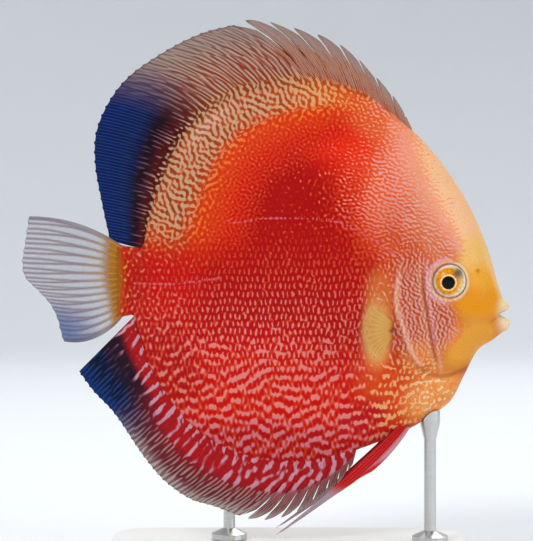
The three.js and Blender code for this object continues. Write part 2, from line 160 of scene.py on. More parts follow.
def shellMesh(name, near, far):  # a closed mesh from two facing grids, in millimetres
    columns, rows = near.shape[0] - 1, near.shape[1] - 1
    perSide = (columns + 1) * (rows + 1)
    index = np.arange(perSide).reshape(columns + 1, rows + 1)
    a, b, c, d = index[:-1, :-1], index[1:, :-1], index[1:, 1:], index[:-1, 1:]
    front = np.stack([a, b, c, d], -1).reshape(-1, 4)
    behind = front[:, ::-1] + perSide
    loop = np.concatenate([index[:, 0], index[-1, 1:], index[-2::-1, -1], index[0, -2:0:-1]])
    following = np.roll(loop, -1)
    rim = np.stack([following, loop, loop + perSide, following + perSide], -1)
    quads = np.vstack([front, behind, rim])
    points = np.vstack([near.reshape(-1, 3), far.reshape(-1, 3)])
    v = points[quads]
    volume = np.einsum("ij,ij->i", v[:, 0], np.cross(v[:, 1], v[:, 2]))
    volume = volume + np.einsum("ij,ij->i", v[:, 0], np.cross(v[:, 2], v[:, 3]))
    if volume.sum() < 0:
        quads = quads[:, ::-1]
    return gridObject(name, points, quads)


def gridObject(name, points, quads):
    mesh = bpy.data.meshes.new(name)
    placed = (points + (0, 0, bodyHeight)) * mm
    mesh.from_pydata(placed.tolist(), [], quads.tolist())
    mesh.polygons.foreach_set("use_smooth", [True] * len(mesh.polygons))
    mesh.update()
    piece = bpy.data.objects.new(name, mesh)
    bpy.context.scene.collection.objects.link(piece)
    return piece


def store(piece, name, kind, values):  # one value or colour for each point of a mesh
    attribute = piece.data.attributes.new(name, kind, "POINT")
    field = {"FLOAT": "value", "FLOAT_VECTOR": "vector", "FLOAT_COLOR": "color"}[kind]
    values = np.asarray(values, np.float32)
    if kind == "FLOAT_COLOR":
        values = np.concatenate([values, np.ones((len(values), 1), np.float32)], 1)
    attribute.data.foreach_set(field, values.ravel())


# The body, with the same named sizes as the solids

backOutline = [
    [-49, 12.4], [-44.5, 11.6], [-41, 11.6], [-39.2, 19.2], [-36, 30], [-27.6, 47.5], [-19, 56.6],
    [-9, 62.5], [2, 65.3], [13, 66], [23.4, 64.5], [34, 61.2], [42.4, 56.2], [55, 44.3],
    [66.4, 28.2], [74.1, 11.2], [78.1, -2.6], [79.3, -5], [81.2, -7.9],
]
bellyOutline = [
    [-49, -12.2], [-46, -11.4], [-43.7, -11.4], [-42, -17.5], [-36.9, -31.5], [-25, -47.8],
    [-16.6, -54.2], [-6.6, -58.5], [4.4, -60.6], [15, -60.3], [24, -58.2], [38.4, -53.2],
    [47, -49.6], [56, -44.3], [62, -39.5], [66.2, -31.5], [71.1, -22.6], [76, -19.3],
    [79, -17], [80.5, -16.3], [81.5, -14.2],
]
halfWidths = [
    [-49, 2.2], [-41, 3.7], [-20, 7.6], [2, 10.3], [24, 11.7], [45, 11.9], [60, 10],
    [70, 7.4], [77, 4.5], [80, 3], [82, 1.8],
]
headEdge = [
    [51, 60], [47, 38], [44.4, 20], [44.2, 8.5], [42.4, -1.2], [42.2, -8], [44.4, -15],
    [47.1, -22.8], [50, -27.2], [54, -30], [59, -31], [64, -29.6], [72, -27.6],
]
gillRearEdge = headEdge[3:]
gillFrontEdge = [
    [51.6, 4.5], [51.9, -3.5], [53.2, -11], [54.6, -19], [56.6, -27.5],
]
frontLateralLine = [  # the pored line of the flank, arched over the ribs
    [44.4, 7.8], [40, 10.5], [33, 15.2], [25, 19.2], [15, 20.8], [2, 20.8], [-10, 19.6],
    [-15.6, 19.8],
]
rearLateralLine = [[-13.2, 1.6], [-21.6, 0.2], [-30, -0.7], [-46, -0.5]]
body = {
    "columns": 220, "rows": 200,
    "rimHalfWidth": 1.4, "thinnest": 0.02,
    "edgePower": 26,  # how tightly the body rounds over at its edge
    "lensPower": (0.92, 0.62),  # the cross-section is flatter at the tail than at the head
    "nostril": (70.2, 3.6),
    "mouthLine": [(78.3, -10.9), (76.4, -12.2), (74.6, -13.4)],  # from the lips to its corner
    "parting": (-10.9, 1.25, 3.1),  # of the open lips: height, half width and depth
    "crease": (-5.6, 0.9, 0.8),  # above the upper lip
}
relief = {  # how far the forms of the head stand out or lie in, in millimetres
    "gillCover": 0.3, "gillFold": 0.35, "groove": 0.18, "grooveWidth": 0.55,
    "eyeRim": 0.55, "socket": 2.6, "nostril": 0.8, "nostrilRim": 0.16,
    "mouthLine": 0.6, "lips": 0.55, "cheek": 0.35,
}
eye = {
    "x": 60.4, "z": 0.2,
    "radius": 5.6, "depthRadius": 4.2, "sink": 1.9,
    "pupil": 2.1, "pupilRing": 2.45, "irisEnds": (4.3, 4.9),
    "pupilShift": (-0.45, -0.5),  # back and down
}

back = smoothCurve(backOutline)
belly = smoothCurve(bellyOutline)


def bodyHalfWidth(x, across):
    tail, head = body["lensPower"]
    lens = (1 - across ** 2) ** (tail + (head - tail) * smooth(25, 70, x))
    return body["rimHalfWidth"] + (valueAlong(halfWidths, x) - body["rimHalfWidth"]) * lens


def insideGillCover(x, z):  # 1 on the gill cover, soft at its edges
    rear, front = xOnLine(gillRearEdge, z), xOnLine(gillFrontEdge, z)
    inside = smooth(-0.35, 0.15, x - rear) * smooth(-0.1, 1.6, front + 0.4 - x)
    return inside * smooth(-30.5, -29, z) * smooth(-12, -6, -z)


def headRelief(x, z):  # how far the skin stands out from the plain body, in millimetres
    gillEdge, along = distanceTo(gillRearEdge, x, z)
    groove, _ = distanceTo(gillFrontEdge, x, z)
    onCover = insideGillCover(x, z)
    behind = smooth(0, 1.0, gillEdge) * smooth(-3.2, -0.8, -gillEdge)
    fold = relief["gillFold"] * behind * (1 - onCover) * smooth(0.02, 0.2, along)
    rise = relief["gillCover"] * onCover - fold * (x < 62)  # no fold under the jaw
    rise = rise - relief["groove"] * ridgeLine(groove, relief["grooveWidth"])
    ring = np.hypot(x - eye["x"], z - eye["z"])
    rise = rise + relief["eyeRim"] * ridgeLine(ring - 6.3, 0.7)
    rise = rise - relief["socket"] * smooth(-5.9, -5.2, -ring)
    nostril = np.hypot(x - body["nostril"][0], z - body["nostril"][1])
    rise = rise - relief["nostril"] * ridgeLine(nostril, 0.45)
    rise = rise + relief["nostrilRim"] * ridgeLine(nostril - 0.95, 0.35)
    mouth, _ = distanceTo(body["mouthLine"], x, z)
    rise = rise - relief["mouthLine"] * ridgeLine(mouth, 0.35)
    lips = ridgeLine(z + 7.3, 1.4) + ridgeLine(z + 14.6, 1.7)  # the upper and the lower
    rise = rise + relief["lips"] * lips * smooth(77.5, 80, x)
    return rise + relief["cheek"] * ridgeLine(x - 62, 6) * ridgeLine(z + 15, 7)


print("body: shaping the skin")
along = np.linspace(0, 1, body["columns"] + 1)[:, None]
even = np.linspace(0, 1, body["rows"] + 1)[None, :]
up = 0.45 * even + 0.55 * (0.5 - 0.5 * np.cos(math.pi * even)) + 0 * along
low = belly(along[:, 0])[:, None, :]
high = back(along[:, 0])[:, None, :]
bodyX, bodyZ = np.moveaxis(low + (high - low) * up[..., None], -1, 0)
across = 2 * up - 1
halfWidth = bodyHalfWidth(bodyX, across)
edge = np.sqrt(np.clip(1 - np.abs(across) ** body["edgePower"], 0, 1))
halfWidth = np.maximum(halfWidth * edge + headRelief(bodyX, bodyZ) * edge, body["thinnest"])
atSnout = smooth(0.955, 1, along)
parting, crease = [ridgeLine(bodyZ - height, width) * atSnout
                   for height, width, _ in (body["parting"], body["crease"])]
bodyX = bodyX - body["parting"][2] * parting - body["crease"][2] * crease
halfWidth = np.maximum(halfWidth * (1 - 0.35 * parting), body["thinnest"])


# Colour: soft patches are laid over one another, each with its place, size and colour

def patch(x, z, centre, radii, turn=0, softness=0.45):
    angle = math.radians(turn)
    dx, dz = x - centre[0], z - centre[1]
    a = (dx * math.cos(angle) + dz * math.sin(angle)) / radii[0]
    b = (-dx * math.sin(angle) + dz * math.cos(angle)) / radii[1]
    return 1 - smooth(1 - softness, 1 + softness, np.hypot(a, b))


groundPatches = [  # the skin between the marks, from the flank to the lips
    ("#e61e06", (30, 38), (15, 17), -30),  # the hot red of the shoulder
    ("#d84a14", (41, 30), (9, 26), -12),
    ("#d8602a", (36, 56), (17, 8), -35),
    ("#a60000", (4, 22), (29, 19), 8),  # the deep red core
    ("#aa0000", (6, 0), (40, 20), 0),
    ("#be0401", (-34, 2), (14, 16), 0),
    ("#c60101", (0, -38), (50, 20), 0),  # the belly
    ("#a80006", (-6, -56), (40, 9), 0),
    ("#ac0001", (-33, -28), (10, 16), 30),
    ("#ae0e02", (-44, 2), (5, 12), 0),
    ("#a45a08", (-51, 0), (3.6, 16), 0),  # the yellow band at the root of the tail
    ("#d0420a", (42, -34), (11, 13), 38),  # orange breast
    ("#b4081a", (32, -46), (9, 6), 30),  # crimson over the pelvic fins
    ("#ee9e4c", (57, -38), (11, 9), 38),
    ("#dc5a1c", (44, 38), (7, 18), -20),  # nape
    ("#b84412", (45, 13), (6, 12), 0),
    ("#98400f", (49, -9), (8, 19), 0),  # gill cover
    ("#d08434", (53, -25), (7, 6), 0),
    ("#944214", (57.5, -13), (5.6, 14), 12),  # cheek
    ("#cc7c30", (66, -13.5), (4.5, 6), 0),
    ("#cc7446", (57, 16), (8, 15), 22),  # brow
    ("#e4986c", (56, 32), (9, 20), 33),
    ("#f0b888", (64, 24), (7.5, 34), 31),  # the pale forehead
    ("#eab660", (70.5, 6), (7, 9), 15),
    ("#e9a024", (70, -3), (10, 8), 4),  # amber snout
    ("#e49008", (71, -7), (9, 5), -8),
    ("#e39a38", (68, -20), (12, 6.5), 34),  # jaw
    ("#f0c080", (77, 4), (2.6, 20), 20),
    ("#ecd0a6", (81.6, -11), (4.4, 8), 0),  # lips
    ("#c8642c", (38, -5), (5, 9), 0),
    ("#dca858", (36.5, -17), (4.5, 10), 0),  # the pale skin behind the gill opening
]
markPatches = [  # the pale lines and spots
    ("#d24a30", (4, 8), (46, 26), 0),  # dashes of the flank
    ("#e07c74", (0, -36), (58, 32), 0),  # pink worms of the belly
    ("#cc7280", (-10, -56), (44, 10), 0),  # lilac next to the anal fin
    ("#d67a70", (-34, -26), (10, 22), 36),
    ("#ee8270", (32, 40), (14, 20), -24),  # the bright shoulder
    ("#e8a084", (36, 56), (17, 9), -35),
    ("#ec9488", (44, 36), (9, 20), -16),  # pink of the nape
    ("#d47c6c", (45, 14), (9, 16), 0),
    ("#e0a090", (58, 18), (10, 22), 28),
    ("#d2988c", (52, -10), (12, 22), 0),  # lilac of the gill cover and cheek
    ("#e8a468", (48, -36), (16, 13), 38),
    ("#f4c894", (58, -35), (10, 8), 38),
    ("#d08a40", (-49, 4), (5, 16), 0),
    ("#dc9474", (38, -5), (5, 9), 0),
]
coverPatches = [  # how much of the skin the marks take, in the order they are laid
    (0.04, (4, 22), (36, 20), 4),
    (0.1, (2, 0), (46, 14), 0),
    (0.24, (-2, -18), (48, 9), 0),
    (0.44, (0, -42), (50, 20), 0),
    (0.34, (-32, -22), (13, 18), 30),
    (0.3, (33, -20), (8, 24), 0),
    (0.22, (27, 38), (8, 20), -24),
    (0.56, (36, 57), (16, 8), -35),
    (0.36, (34, 36), (8, 24), -24),
    (0.52, (41, 34), (7, 26), -20),
    (0.62, (47, 32), (7, 24), -14),
    (0.42, (42, 8), (5, 10), 0),
    (0.54, (49, -10), (8, 20), 0),
    (0.54, (58.5, -13), (6.5, 14), 12),
    (0.5, (57, 22), (8, 22), 30),
    (0.46, (50, -36), (12, 11), 38),
    (-0.2, (70, 22), (8, 36), 31),
    (-0.2, (72.5, -2), (10, 14), 0),
    (-0.2, (70, -22), (13, 6), 34),
    (-0.2, (-52, 0), (4, 20), 0),
    (0.0, (36.5, -17), (4, 9), 0),
    (-0.2, (79, -11), (5, 9), 0),
]
grainPatches = [  # which way the marks run, in degrees, and how strictly
    (4, 0.5, (0, -42), (60, 24), 0),
    (162, 0.7, (40, 34), (16, 26), -10),
    (165, 0.6, (60, 20), (12, 30), 30),
    (110, 0.45, (52, -12), (16, 22), 0),
    (20, 0.6, (52, -38), (18, 12), 38),
]
backZone = {  # the band of tan islands under the dorsal fin, which turns orange and then red
    "width": [[-49, 11], [-36, 12], [-20, 13], [-5, 11], [10, 8.5], [26, 6], [42, 5]],
    "ground": ("#8c3c10", "#ca5802"), "marks": ("#c29874", "#e2a264"),  # rear and front
    "orange": "#cc3002", "orangeMarks": "#e4701c", "hot": "#c20c02", "hotMarks": "#de4c14",
}


def paint(base, patches, x, z):
    colours = np.ones(x.shape + (1,)) * toLinear(base)
    for hexColour, centre, radii, turn in patches:
        mask = patch(x, z, centre, radii, turn)[..., None]
        colours = colours * (1 - mask) + toLinear(hexColour) * mask
    return colours


def backShare(x, depth):  # 0 at the fin, 1 where the tan islands end
    return depth / valueAlong(backZone["width"], x)


def backMask(x, z):  # neither on the nape nor on the stalk of the tail
    return smooth(-42, -14, -x) * smooth(6, 24, z + 0.2 * (x + 40))


def coverAt(x, z):
    cover = np.full(x.shape, 0.3)
    for value, centre, radii, turn in coverPatches:
        mask = patch(x, z, centre, radii, turn)
        cover = cover * (1 - mask) + value * mask
    return cover


def grainAt(x, z):  # doubled angles, so that opposite directions mix as one
    direction = np.zeros(x.shape + (2,))
    strength = np.full(x.shape, 0.1)
    for degrees, strict, centre, radii, turn in grainPatches:
        mask = patch(x, z, centre, radii, turn)
        doubled = math.radians(2 * degrees)
        direction = direction * (1 - mask[..., None])
        direction = direction + mask[..., None] * (math.cos(doubled), math.sin(doubled))
        strength = strength * (1 - mask) + strict * mask
    angle = np.arctan2(direction[..., 1], direction[..., 0]) / 2
    return angle, strength


def over(colours, hexColour, mask):  # a colour laid over others
    mask = np.broadcast_to(mask, colours.shape[:-1])[..., None]
    return colours * (1 - mask) + toLinear(hexColour) * mask


def layered(colours, *layers):  # each layer is a colour and its mask
    for hexColour, mask in layers:
        colours = over(colours, hexColour, mask)
    return colours


def ramped(colours, share, *steps):  # each step is a colour, where it starts and where it is full
    for hexColour, start, full in steps:
        colours = over(colours, hexColour, smooth(start, full, share))
    return colours


def skinPaint(x, z, depth):
    ground = paint("#b40200", groundPatches, x, z)
    marks = paint("#dc8070", markPatches, x, z)
    share = backShare(x, depth)
    rear = smooth(-34, 4, -x)[..., None]
    tan = [toLinear(a) * rear + toLinear(b) * (1 - rear) for a, b in (
        backZone["ground"], backZone["marks"])]
    behindNape = backMask(x, z)
    layers = (("hot", "hotMarks", 1 - smooth(2.2, 3.4, share)),
              ("orange", "orangeMarks", 1 - smooth(1.3, 2.3, share)))
    for colour, markColour, mask in layers:
        ground = over(ground, backZone[colour], mask * behindNape)
        marks = over(marks, backZone[markColour], mask * behindNape)
    band = ((1 - smooth(0.75, 1.35, share)) * behindNape)[..., None]
    ground = ground * (1 - band) + tan[0] * band
    marks = marks * (1 - band) + tan[1] * band
    groove, grooveShare = distanceTo(gillFrontEdge, x, z)
    ahead = x - xOnLine(gillFrontEdge, z)
    pale = ridgeLine(ahead - 1.3, 0.5) * ridgeLine(groove, 2.4) * 0.55
    lip = ridgeLine(ahead + 1.2, 0.5) * ridgeLine(groove, 2.4) * 0.6
    ends = smooth(0, 0.12, grooveShare) * smooth(-1, -0.9, -grooveShare)
    gillEdge, share = distanceTo(gillRearEdge, x, z)
    onCover = insideGillCover(x, z)
    fold = ridgeLine(gillEdge - 0.8, 0.7) * onCover * 0.85 * smooth(0, 0.2, share)
    shadow = ridgeLine(gillEdge - 0.3, 0.4) * (1 - onCover) * 0.55 * smooth(0.05, 0.25, share)
    spot = ridgeLine(np.hypot((x - 41.2) / 1.5, (z + 15.9) / 0.8), 1)  # at the pectoral fin
    ring = np.hypot(x - eye["x"], z - eye["z"])
    arc = ridgeLine(ring - 7.3, 0.45) * smooth(-2, 3, eye["x"] - x)  # behind the eye
    mouthInside = ridgeLine(z - body["parting"][0], 0.8) * smooth(78, 79.5, x)
    nostril = np.hypot(x - body["nostril"][0], z - body["nostril"][1])
    details = (("#e2c0c4", pale), ("#e4be96", lip), ("#7a3004", ridgeLine(groove, 0.45) * ends),
               ("#ecc8ac", fold), ("#8c3a14", shadow), ("#e0bccc", arc * 0.8),
               ("#ecd2b2", ridgeLine(ring - 6.2, 0.6) * 0.8), ("#54180e", spot * 0.85),
               ("#a08078", mouthInside * 0.7), ("#b07824", ridgeLine(nostril, 0.5) * 0.56))
    return [layered(colours, *details) for colours in (ground, marks)]


def coverBack(cover, x, z, depth):
    share = backShare(x, depth)
    for value, mask in ((0.16, 1 - smooth(2.6, 3.6, share)), (0.3, 1 - smooth(1.7, 2.6, share)),
                        (0.46, 1 - smooth(1.0, 1.8, share)), (0.54, 1 - smooth(0.7, 1.1, share))):
        mask = mask * backMask(x, z)
        cover = cover * (1 - mask) + value * mask
    return cover


def skinMasks(x, z):
    fine = np.maximum(patch(x, z, (54, -9), (12, 21), 0, 0.3),
                      patch(x, z, (46, 34), (24, 36), 14, 0.4))  # the head and the nape
    coarse = patch(x, z, (-8, -40), (58, 28), 0, 0.4)  # the broad worms of the belly
    dots = patch(x, z, (0, -9), (50, 24), 0, 0.35) * smooth(-41, -32, -x)
    dots = dots * (0.3 + 0.7 * patch(x, z, (14, -12), (38, 20), 0, 0.5))
    scaled = 1 - patch(x, z, (72, 2), (28, 42), 12, 0.25)
    lines = []
    for points in (frontLateralLine, rearLateralLine):
        distance, share = distanceTo(points, x, z)
        lines.append(ridgeLine(distance, 0.5) * smooth(0, 0.04, share) * smooth(-1, -0.93, -share))
    return fine, coarse, dots, scaled, np.maximum(*lines)


def dress(piece, x, z, depth, extra=None):  # stores the colours and masks of a piece's skin
    ground, marks = skinPaint(x, z, depth)
    fine, coarse, dots, scaled, line = skinMasks(x, z)
    share = backShare(x, depth)
    fine = np.maximum(fine, smooth(1.1, 2, share) * (1 - smooth(3.2, 4, share)) * backMask(x, z))
    angle, strict = grainAt(x, z)
    away = smooth(0.6, 1.6, share) + 1 - backMask(x, z)
    towardsFin = 3 * math.pi / 4 - 0.25 * smooth(-25, 40, x)  # the islands point up the rays
    angle = np.where(away < 0.5, towardsFin, angle)
    strict = strict * np.clip(away, 0, 1) + 0.55 * (1 - np.clip(away, 0, 1))
    masks = {"fine": fine, "coarse": coarse, "dots": dots, "scaled": scaled, "pored": line,
             "cover": coverBack(coverAt(x, z), x, z, depth), "grainAngle": angle,
             "grainStrict": strict, "clear": np.zeros(x.shape), "streaked": np.zeros(x.shape)}
    rays = np.stack([x, z], -1)
    if extra:
        ground, marks, rays = extra(ground, marks, masks)
    shift = np.array([0, skin["leftShiftMm"]]).reshape((2,) + (1,) * x.ndim)
    for name, flat in (("patternPlace", np.stack([x, z], -1)), ("rayPlace", rays)):
        where = np.stack([flat[..., 0] + shift, flat[..., 1] + 0 * shift, 0 * x + 0 * shift], -1)
        store(piece, name, "FLOAT_VECTOR", where.reshape(-1, 3))
    for name, values in masks.items():
        store(piece, name, "FLOAT", np.tile(np.ravel(values), 2))
    for name, values in {"ground": ground, "marks": marks}.items():
        store(piece, name, "FLOAT_COLOR", np.tile(values.reshape(-1, 3), (2, 1)))


# Skin: wet fish skin over small overlapping scales. The pigment lies under a clear slime coat,
# which gives it a soft gloss over colours that stay full from every side.

skin = {
    "roughness": 0.42, "ior": 1.38, "specular": 0.12, "coat": 0.1, "coatRoughness": 0.16,
    "lineMm": {"fine": 1.35, "middle": 2.1, "coarse": 3.3},  # from one pale line to the next
    "streakMm": 1.45,  # between the streaks of the fins
    "scaleMm": (1.67, 2.5),  # along a row of scales, and from row to row
    "edge": 0.06,  # softness of the marks' edges
    "rimColour": "#e84a14",  # the thin edge of orange round each mark
    "spread": 0.6,  # how strongly the cover moves their threshold
    "beads": 0.09,  # how far the scales break up the marks
    "wobbleMm": 1.2, "driftMm": 3.0,  # how far the lines and the rows of dashes wander
    # cells of noise: the last is one for each 0.4 mm, the size of a cluster of pigment
    "cellsPerMm": {"wobble": 0.4, "drift": 0.16, "patchy": 0.55, "pigment": 2.6},
    "mottle": (0.68, 1.08),  # the darkest and lightest pigment
    "scaleHeightMm": 0.2,
    "poreColour": "#d4606a",  # of the lateral line
    "leftShiftMm": 97.0,  # gives the left side its own run of the pattern
    "streakStretch": 0.22,  # how much the fins' streaks are drawn out along the rays
    "bare": -0.6,  # a cover too low for any mark
}


def skinMaterial(name, onFin):
    material, add = newMaterial(name)
    read = {n: add("Attribute", {"attribute_name": n}) for n in (
        "patternPlace", "rayPlace", "ground", "marks", "fine", "coarse", "dots", "scaled", "pored",
        "cover", "grainAngle", "grainStrict", "clear", "streaked")}
    mask = {n: node.outputs["Fac"] for n, node in read.items()}
    place, ground, marks = (read["patternPlace"].outputs["Vector"],
                            read["ground"].outputs["Color"], read["marks"].outputs["Color"])
    gabor, soft = {"gabor_type": "2D", "Frequency": 2.0}, {"interpolation_type": "SMOOTHSTEP"}
    cells = skin["cellsPerMm"]
    wobble = add("TexNoise", {"Scale": cells["wobble"], "Detail": 2.0}, {"Vector": place})
    shifted = add("VectorMath", {
        "operation": "MULTIPLY_ADD", 1: (skin["wobbleMm"], skin["wobbleMm"], 0)},
        {0: wobble.outputs["Color"], 2: place})
    across = add("Math", {"operation": "ADD", 1: math.pi / 2}, {0: mask["grainAngle"]})
    lines = {}
    for size, spacing in skin["lineMm"].items():
        lines[size] = add("TexGabor", {
            **gabor, "Scale": 1 / (2 * spacing)}, {
            "Vector": shifted, "Anisotropy": mask["grainStrict"], "Orientation": across,
        }).outputs["Value"]
    broad = add("Mix", {}, {"Factor": mask["coarse"], 2: lines["middle"], 3: lines["coarse"]})
    level = add("Mix", {}, {"Factor": mask["fine"], 2: broad, 3: lines["fine"]})

    # One pale dash on each scale: rows that are staggered by half a scale
    alongMm, betweenMm = skin["scaleMm"]
    drift = add("TexNoise", {"Scale": cells["drift"], "Detail": 3.0}, {"Vector": place})
    drifted = add("VectorMath", {
        "operation": "MULTIPLY_ADD", 1: (skin["driftMm"], skin["driftMm"], 0)},
        {0: drift.outputs["Color"], 2: place})
    turns = add("VectorMath", {
        "operation": "MULTIPLY", 1: (2 * math.pi / alongMm, math.pi / betweenMm, 0)}, {0: drifted})
    waves = add("VectorMath", {"operation": "COSINE"}, {0: turns})
    wave = add("SeparateXYZ", {}, {0: waves})
    lattice = add("Math", {"operation": "MULTIPLY"}, {0: wave, 1: wave.outputs[1]})
    patchy = add("TexNoise", {"Scale": cells["patchy"], "Detail": 2.0}, {"Vector": place})
    dashLevel = add("Math", {"operation": "MULTIPLY_ADD", 1: 1.3}, {
        0: patchy.outputs["Fac"], 2: lattice})
    dashes = add("MapRange", {
        **soft, "From Min": 0.95, "From Max": 1.35}, {"Value": dashLevel, "To Max": mask["dots"]})
    scales = add("Math", {"operation": "MULTIPLY"}, {0: lattice, 1: mask["scaled"]})
    level = add("Math", {"operation": "MULTIPLY_ADD", 1: skin["beads"]}, {0: scales, 2: level})
    if onFin:  # streaks that run along the rays
        streak = add("TexGabor", {
            **gabor, "Scale": 1 / (2 * skin["streakMm"]), "Anisotropy": 0.45,
            "Orientation": 0.0}, {"Vector": read["rayPlace"].outputs["Vector"]})
        level = add("Mix", {}, {"Factor": mask["streaked"], 2: level, 3: streak.outputs["Value"]})
    raised = add("Math", {"operation": "MULTIPLY_ADD", 1: skin["spread"]}, {
        0: mask["cover"], 2: level})
    above = add("Math", {"operation": "SUBTRACT", 1: 0.5 + 0.5 * skin["spread"]}, {0: raised})
    sharpness = add("Math", {"operation": "MULTIPLY_ADD", 1: -0.55, 2: 1.0}, {
        0: mask["fine"]})  # the fine lines of the head are the softest
    above = add("Math", {"operation": "MULTIPLY"}, {0: above, 1: sharpness})
    edge = skin["edge"]
    rim = add("MapRange", {
        **soft, "From Min": -2.4 * edge, "From Max": -0.4 * edge,
        "To Max": 0.0 if onFin else 0.4}, {"Value": above})
    core = add("MapRange", {
        **soft, "From Min": -0.6 * edge, "From Max": 1.2 * edge}, {"Value": above})
    rimmed = add("Mix", {"data_type": "RGBA", 7: colour4(skin["rimColour"])}, {
        "Factor": rim, 6: ground})
    colour = add("Mix", {"data_type": "RGBA"}, {"Factor": core, 6: rimmed.outputs[2], 7: marks})
    if not onFin:
        colour = add("Mix", {"data_type": "RGBA"}, {
            "Factor": dashes, 6: colour.outputs[2], 7: marks})
        broken = add("Math", {"operation": "MULTIPLY_ADD", 1: 0.9}, {
            0: patchy.outputs["Fac"], 2: mask["pored"]})
        beaded = add("Math", {"operation": "MULTIPLY_ADD", 1: 0.22}, {0: wave, 2: broken})
        pores = add("MapRange", {
            **soft, "From Min": 1.02, "From Max": 1.35, "To Max": 0.75}, {"Value": beaded})
        colour = add("Mix", {"data_type": "RGBA", 7: colour4(skin["poreColour"])}, {
            "Factor": pores, 6: colour.outputs[2]})

    # Pigment cells: a fine, soft mottle
    speckle = add("TexNoise", {
        "Scale": cells["pigment"], "Detail": 4.0, "Roughness": 0.7}, {"Vector": place})
    shade = add("MapRange", {
        "From Min": 0.3, "From Max": 0.7, "To Min": skin["mottle"][0], "To Max": skin["mottle"][1]},
        {"Value": speckle.outputs["Fac"]})
    shaded = add("VectorMath", {"operation": "SCALE"}, {0: colour.outputs[2], "Scale": shade})

    bump = add("Bump", {
        "Strength": 0.25, "Distance": skin["scaleHeightMm"] * mm}, {"Height": scales})
    links = {"Base Color": shaded, "Normal": bump}
    if onFin:
        links["Alpha"] = add("Math", {"operation": "SUBTRACT", 0: 1.0}, {1: mask["clear"]})
    finish = add("BsdfPrincipled", {
        "Roughness": skin["roughness"], "IOR": skin["ior"], "Specular IOR Level": skin["specular"],
        "Coat Weight": skin["coat"], "Coat Roughness": skin["coatRoughness"]}, links)
    add("OutputMaterial", {}, {"Surface": finish})
    return material


fishSkin = skinMaterial("fish skin, scaled and wet", False)
finSkin = skinMaterial("fin membrane, thin skin on bony rays", True)

fishBody = shellMesh("body_skin", *[
    np.stack([bodyX, side * halfWidth, bodyZ], -1) for side in (-1, 1)])
backDepth, _ = distanceTo(backOutline, bodyX, bodyZ)
dress(fishBody, bodyX, bodyZ, backDepth)
fishBody.data.materials.append(fishSkin)
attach(fishBody, "root")
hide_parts("head", "upper_jaw", "lower_jaw", "gill_cover_left", "gill_cover_right",
            "trunk", "breast", "tail_stalk")


# Fins: a thin membrane between raised rays, with the same paint as the skin at its root

def shareAtX(curve, x):
    shares = np.linspace(0, 1, 2001)
    xs = curve(shares)[:, 0]
    return np.interp(x, xs, shares) if xs[-1] > xs[0] else 0


def rootAlong(curve, outward, fromX, toX, sunk):  # along the body's edge, sunk into it
    start, end = shareAtX(curve, fromX), shareAtX(curve, toX)

    def at(u):
        share = start + (end - start) * u
        point = curve(share)
        tangent = curve(share + 1e-3) - curve(share - 1e-3)
        tangent = tangent / np.linalg.norm(tangent, axis=-1, keepdims=True)
        normal = np.stack([-tangent[:, 1], tangent[:, 0]], -1) * outward
        placed = point - normal * sunk
        return np.stack([placed[:, 0], 0 * u, placed[:, 1]], -1)
    return at


def through(points):
    spatial = [[p[0], 0, p[1]] if len(p) == 2 else p for p in points]
    return smoothCurve(spatial)


def finPiece(name, fin, finPaint):  # u runs along the fin's root and r out along its rays
    count, perRay, rows = fin["rays"], fin["perRay"], fin["rows"]
    u = np.linspace(0, 1, count * perRay + 1)
    phase = (u * count) % 1
    ray = ridgeLine(phase - fin["rayAt"], fin["rayWidth"])[:, None]
    cut = np.interp(phase, *fin["notch"]) * fin["notchDepth"](u)
    r = np.linspace(0, 1, rows + 1)[None, :] * (1 - cut)[:, None]
    start = fin["root"](u)
    span = fin["margin"](u) - start
    sideways = np.stack([-span[:, 2], 0 * u, span[:, 0]], -1) * fin["bow"](u)[:, None]
    arch = (4 * r * (1 - r))[..., None]
    middle = start[:, None] + span[:, None] * r[..., None] + sideways[:, None] * arch
    middle[..., 1] += fin["sway"](u[:, None], r)
    middle[..., 0] += fin["sweep"](u[:, None], r)
    normal = np.cross(np.gradient(middle, axis=0), np.gradient(middle, axis=1))
    normal /= np.linalg.norm(normal, axis=-1, keepdims=True)
    thin, thick = fin["membrane"], fin["ridge"]
    half = thin[0] + (thin[1] - thin[0]) * r + ray * (thick[0] + (thick[1] - thick[0]) * r)
    offset = normal * half[..., None]
    piece = shellMesh(name, middle - offset, middle + offset)
    x, z = middle[..., 0], middle[..., 2]
    reach = np.linalg.norm(span, axis=-1)[:, None]
    width = np.linalg.norm(np.diff(middle[:, rows // 2], axis=0), axis=-1).sum()
    rays = np.stack([u[:, None] * width + 0 * r, r * reach * skin["streakStretch"]], -1)
    turned = np.gradient(middle, axis=1)
    runs = np.arctan2(turned[..., 2], turned[..., 0])

    def paintFin(ground, marks, masks):
        masks["grainAngle"] = runs
        masks["scaled"] = masks["scaled"] * (1 - smooth(0.05, 0.3, r))
        masks["dots"] = 0 * r
        masks["fine"] = 0 * r
        return *finPaint(u[:, None] + 0 * r, r, ray, ground, marks, masks), rays
    dress(piece, x, z, 0 * x + fin["fromBack"], paintFin)
    piece.data.materials.append(finSkin)
    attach(piece, "root")
    return piece


flat = lambda u, r: 0 * r
finBow = 0.09  # how far the rays arch forwards where the spines end, of their length
